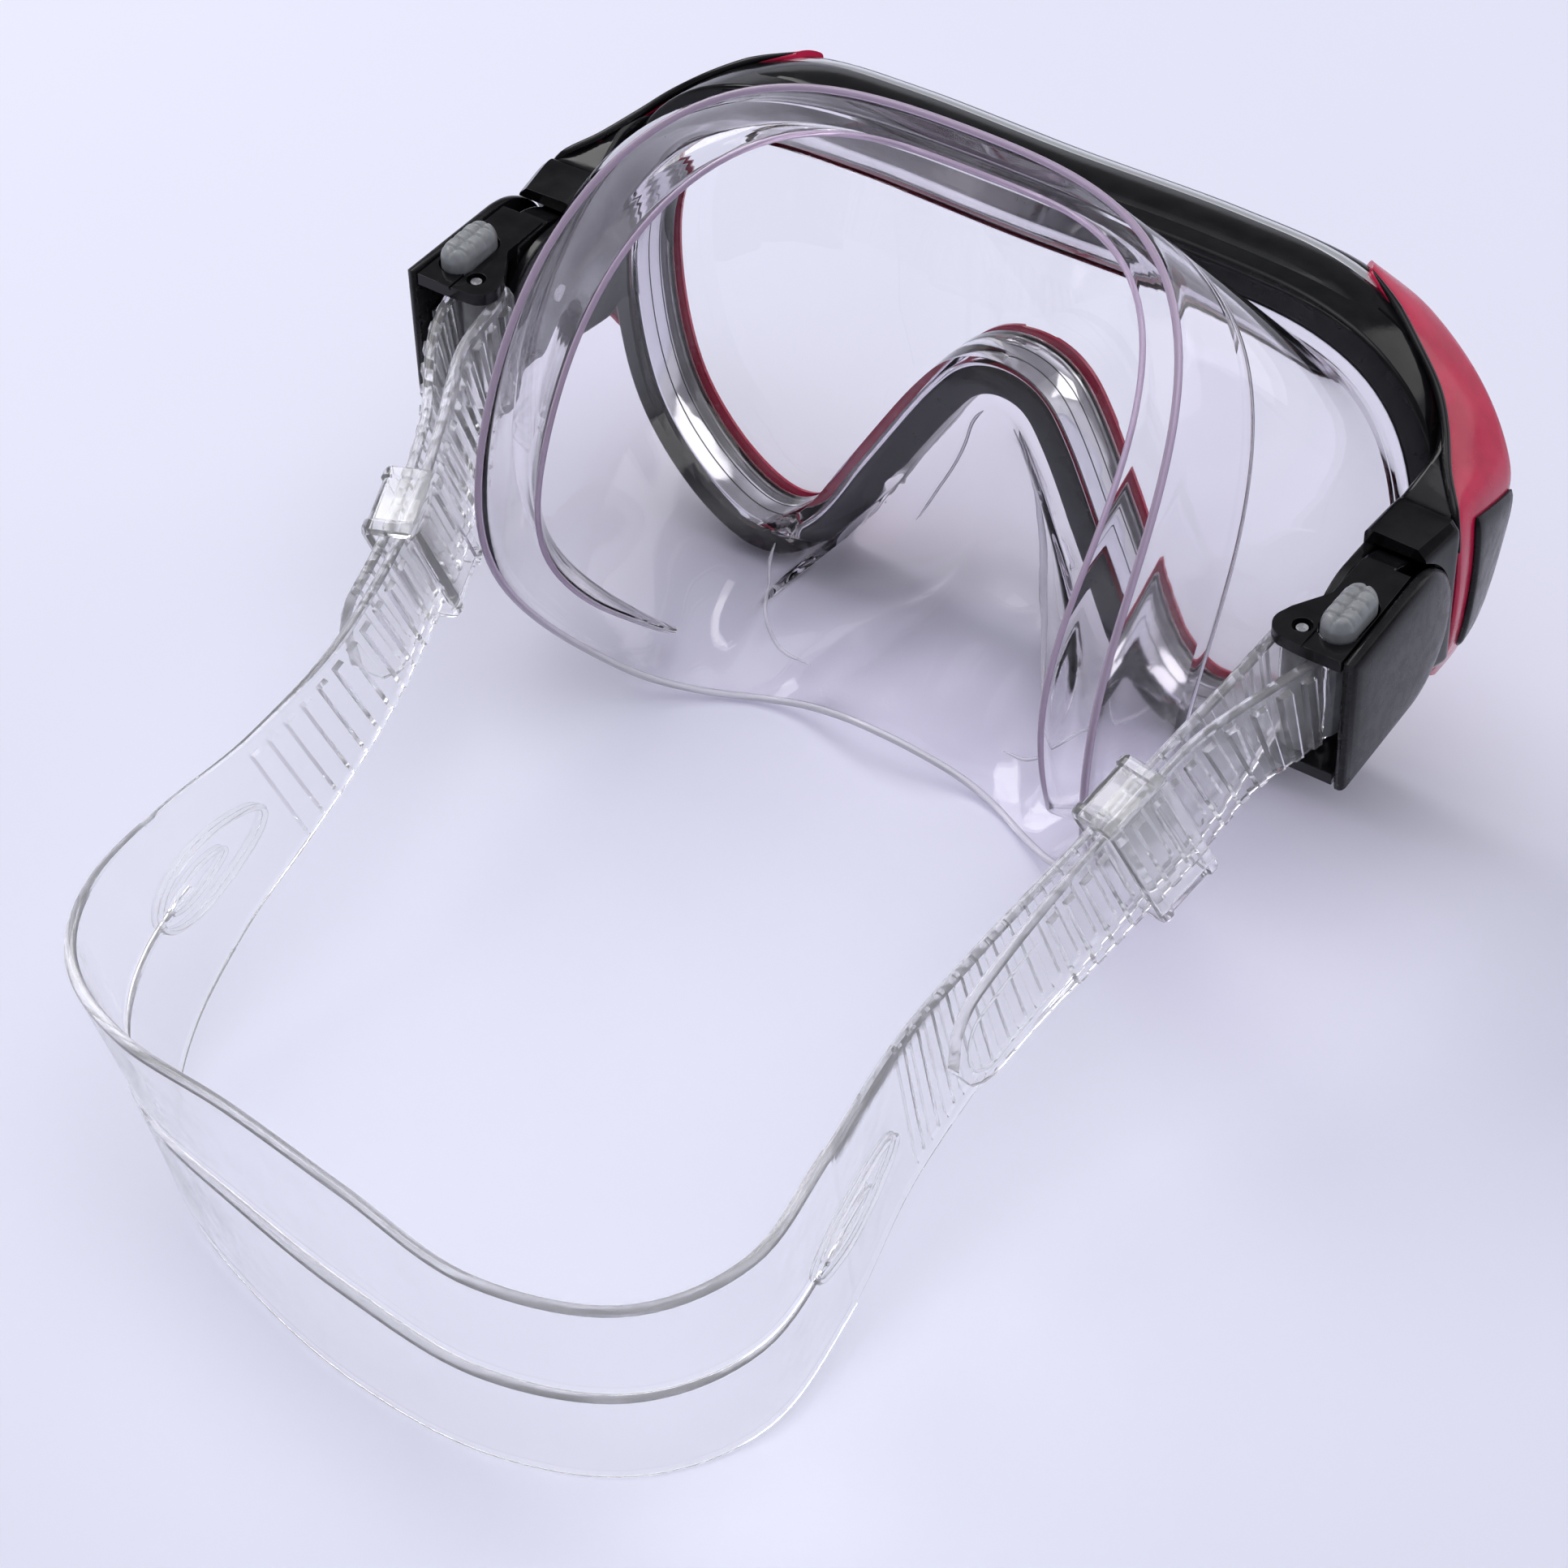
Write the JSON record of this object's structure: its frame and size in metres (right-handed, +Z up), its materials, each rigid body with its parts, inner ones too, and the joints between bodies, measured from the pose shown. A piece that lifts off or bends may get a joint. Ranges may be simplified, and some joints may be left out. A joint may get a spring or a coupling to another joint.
{
  "type": "diving mask",
  "caption": "Diving mask with a single flat lens, soft moulded skirt with nose pocket, tilting quick-release strap buckles and a clear head strap.",
  "frame": {"origin": "middle of the bounding box, on the table the mask stands on", "axes": "+X the wearer's right, +Y the way the wearer looks, +Z up"},
  "size_m": [0.1774, 0.2174, 0.1098],
  "materials": {
    "black_plastic": "gloss",
    "crimson_plastic": "gloss",
    "grey_plastic": "satin",
    "satin_roller": "satin",
    "steel_pin": "satin",
    "lens_glass": "polished",
    "clear_skirt": "clear, glossy",
    "clear_strap": "clear, glossy"
  },
  "bodies": {
    "mask": {"frame": "black_plastic", "lens": "lens_glass", "front_bezel": "crimson_plastic", "skirt": "clear_skirt", "head_strap": "clear_strap", "grip_pad_right": "black_plastic", "grip_pad_left": "black_plastic", "swivel_pin_right": "steel_pin", "swivel_pin_left": "steel_pin"},
    "buckle_right": {"buckle_chassis_right": "black_plastic", "buckle_cover_right": "black_plastic", "roller_pin_right": "steel_pin", "pawl_pin_right": "steel_pin", "pawl_spring_right": "steel_pin"},
    "roller_right": {"roller_right": "satin_roller"},
    "button_right": {"release_button_right": "grey_plastic"},
    "pawl_right": {"ratchet_pawl_right": "grey_plastic"},
    "keeper_right": {"keeper_right": "clear_strap"},
    "buckle_left": {"buckle_chassis_left": "black_plastic", "buckle_cover_left": "black_plastic", "roller_pin_left": "steel_pin", "pawl_pin_left": "steel_pin", "pawl_spring_left": "steel_pin"},
    "roller_left": {"roller_left": "satin_roller"},
    "button_left": {"release_button_left": "grey_plastic"},
    "pawl_left": {"ratchet_pawl_left": "grey_plastic"},
    "keeper_left": {"keeper_left": "clear_strap"}
  },
  "joints": [
    {"name": "buckle_tilt_right", "type": "hinge", "parent": "mask", "child": "buckle_right", "pos_m": [0.08, 0.06165, 0.05434], "axis": [1, 0, 0], "range_deg": [-25, 25], "deforming": ["head_strap"]},
    {"name": "roller_spin_right", "type": "hinge", "parent": "buckle_right", "child": "roller_right", "pos_m": [0.0769, 0.04495, 0.05434], "axis": [0, 0, 1], "continuous": true},
    {"name": "button_press_right", "type": "slide", "parent": "buckle_right", "child": "button_right", "axis": [0, 0, -1], "range_m": [0, 0.0018], "stiffness_N_per_m": 1000},
    {"name": "pawl_turn_right", "type": "hinge", "parent": "buckle_right", "child": "pawl_right", "pos_m": [0.0833, 0.05165, 0.05434], "axis": [0, 0, 1], "range_deg": [0, 6]},
    {"name": "keeper_slide_right", "type": "slide", "parent": "mask", "child": "keeper_right", "axis": [0.2127, 0.9003, 0.3798], "range_m": [-0.0025, 0.0025]},
    {"name": "buckle_tilt_left", "type": "hinge", "parent": "mask", "child": "buckle_left", "pos_m": [-0.08, 0.06165, 0.05434], "axis": [1, 0, 0], "range_deg": [-25, 25], "deforming": ["head_strap"]},
    {"name": "roller_spin_left", "type": "hinge", "parent": "buckle_left", "child": "roller_left", "pos_m": [-0.0769, 0.04495, 0.05434], "axis": [0, 0, 1], "continuous": true},
    {"name": "button_press_left", "type": "slide", "parent": "buckle_left", "child": "button_left", "axis": [0, 0, -1], "range_m": [0, 0.0018], "stiffness_N_per_m": 1000},
    {"name": "pawl_turn_left", "type": "hinge", "parent": "buckle_left", "child": "pawl_left", "pos_m": [-0.0833, 0.05165, 0.05434], "axis": [0, 0, 1], "range_deg": [-6, 0]},
    {"name": "keeper_slide_left", "type": "slide", "parent": "mask", "child": "keeper_left", "axis": [0.2731, -0.9139, -0.3004], "range_m": [0, 0.004]}
  ],
  "couplings": [
    {"joint": "pawl_turn_right", "follows": "button_press_right", "rad_per_m": 58},
    {"joint": "pawl_turn_left", "follows": "button_press_left", "rad_per_m": -58}
  ]
}
